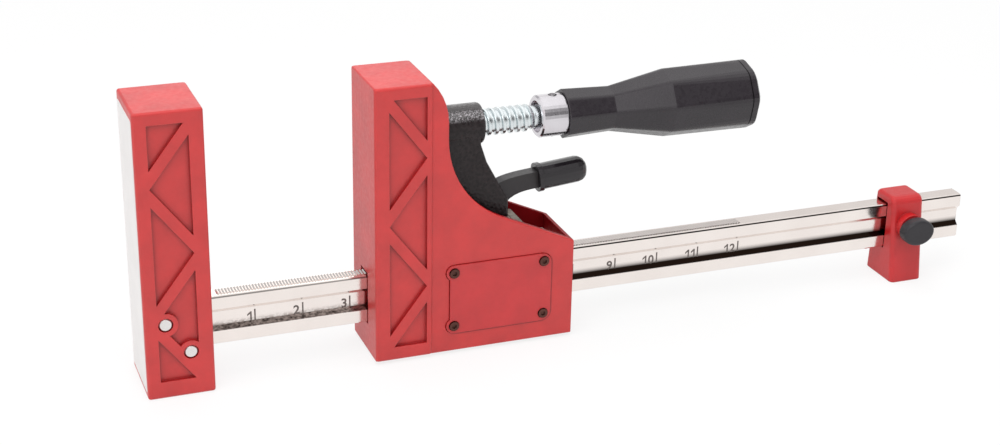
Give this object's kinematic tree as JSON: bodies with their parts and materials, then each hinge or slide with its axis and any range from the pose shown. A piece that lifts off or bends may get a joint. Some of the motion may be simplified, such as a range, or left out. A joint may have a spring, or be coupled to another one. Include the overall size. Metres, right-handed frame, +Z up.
{
  "type": "parallel clamp",
  "caption": "Parallel-jaw bar clamp: a sliding jaw on an I-section rail is pressed towards a fixed jaw by a screw with an octagonal handle, with a trigger clutch and an end stop.",
  "frame": {"origin": "centre of the fixed jaw's foot, on the bench", "axes": "+X along the rail, from the fixed jaw to the free end; +Y to the back; +Z up, along the jaws"},
  "size_m": [0.4847, 0.0468, 0.1529],
  "materials": {
    "nickel": "bright nickel plate",
    "red_plastic": "satin moulded",
    "cast_iron": "black paint",
    "polished_steel": "polished",
    "nylon": "natural",
    "plain_steel": "plain",
    "zinc": "zinc plate",
    "black_plastic": "satin moulded",
    "black_vinyl": "dipped, glossy",
    "brass": "plain"
  },
  "bodies": {
    "base": {"rail": "nickel", "fixed_jaw_cover": "red_plastic", "fixed_jaw_core": "cast_iron", "fixed_jaw_pin_upper": "polished_steel", "fixed_jaw_pin_lower": "polished_steel"},
    "carriage": {"sliding_arm": "cast_iron", "trigger_pin": "plain_steel", "clutch_spring": "zinc"},
    "clutch": {"clutch_plate_front": "plain_steel", "clutch_plate_rear": "plain_steel"},
    "trigger": {"trigger": "cast_iron", "trigger_grip": "black_vinyl"},
    "jaw": {"jaw_cover": "red_plastic", "side_plate": "red_plastic", "side_plate_screw_1": "plain_steel", "side_plate_screw_2": "plain_steel", "side_plate_screw_3": "plain_steel", "side_plate_screw_4": "plain_steel", "thrust_plate": "plain_steel", "thrust_retainer": "plain_steel", "jaw_glide_front": "nylon", "jaw_glide_rear": "nylon"},
    "spindle": {"spindle": "zinc", "spindle_collar": "polished_steel", "handle_pin": "plain_steel", "handle": "black_plastic"},
    "stop": {"end_stop": "red_plastic", "stop_insert": "brass"},
    "stop_pad": {"stop_pad": "brass"},
    "stop_knob": {"stop_screw": "zinc", "stop_knob": "black_plastic"}
  },
  "joints": [
    {"name": "head_slide", "type": "slide", "parent": "base", "child": "carriage", "axis": [1, 0, 0], "range_m": [-0.072, 0.183]},
    {"name": "jaw_feed", "type": "slide", "parent": "carriage", "child": "jaw", "axis": [-1, 0, 0], "range_m": [0, 0.012]},
    {"name": "spindle_turn", "type": "hinge", "parent": "jaw", "child": "spindle", "pos_m": [0.10245, 0, 0.1217], "axis": [-1, 0, 0], "range_deg": [0, 1080]},
    {"name": "trigger_squeeze", "type": "hinge", "parent": "carriage", "child": "trigger", "pos_m": [0.17275, 0, 0.0653], "axis": [0, -1, 0], "range_deg": [0, 12], "stiffness_Nm_per_rad": 1.2, "springref_deg": -8.59},
    {"name": "clutch_tilt", "type": "hinge", "parent": "carriage", "child": "clutch", "pos_m": [0.1866, 0, 0.0319], "axis": [0, 1, 0], "range_deg": [0, 3.3], "deforming": ["clutch_spring"]},
    {"name": "stop_slide", "type": "slide", "parent": "base", "child": "stop", "axis": [1, 0, 0], "range_m": [-0.02, 0.029]},
    {"name": "pad_retract", "type": "slide", "parent": "stop", "child": "stop_pad", "axis": [0, -1, 0], "range_m": [0, 0.001]},
    {"name": "knob_turn", "type": "hinge", "parent": "stop_pad", "child": "stop_knob", "pos_m": [0.4275, 0, 0.0339], "axis": [0, -1, 0], "range_deg": [0, 360]}
  ],
  "couplings": [
    {"joint": "spindle_turn", "follows": "jaw_feed", "rad_per_m": 1570.8},
    {"joint": "clutch_tilt", "follows": "trigger_squeeze", "ratio": 0.275},
    {"joint": "knob_turn", "follows": "pad_retract", "rad_per_m": 6283.2}
  ]
}
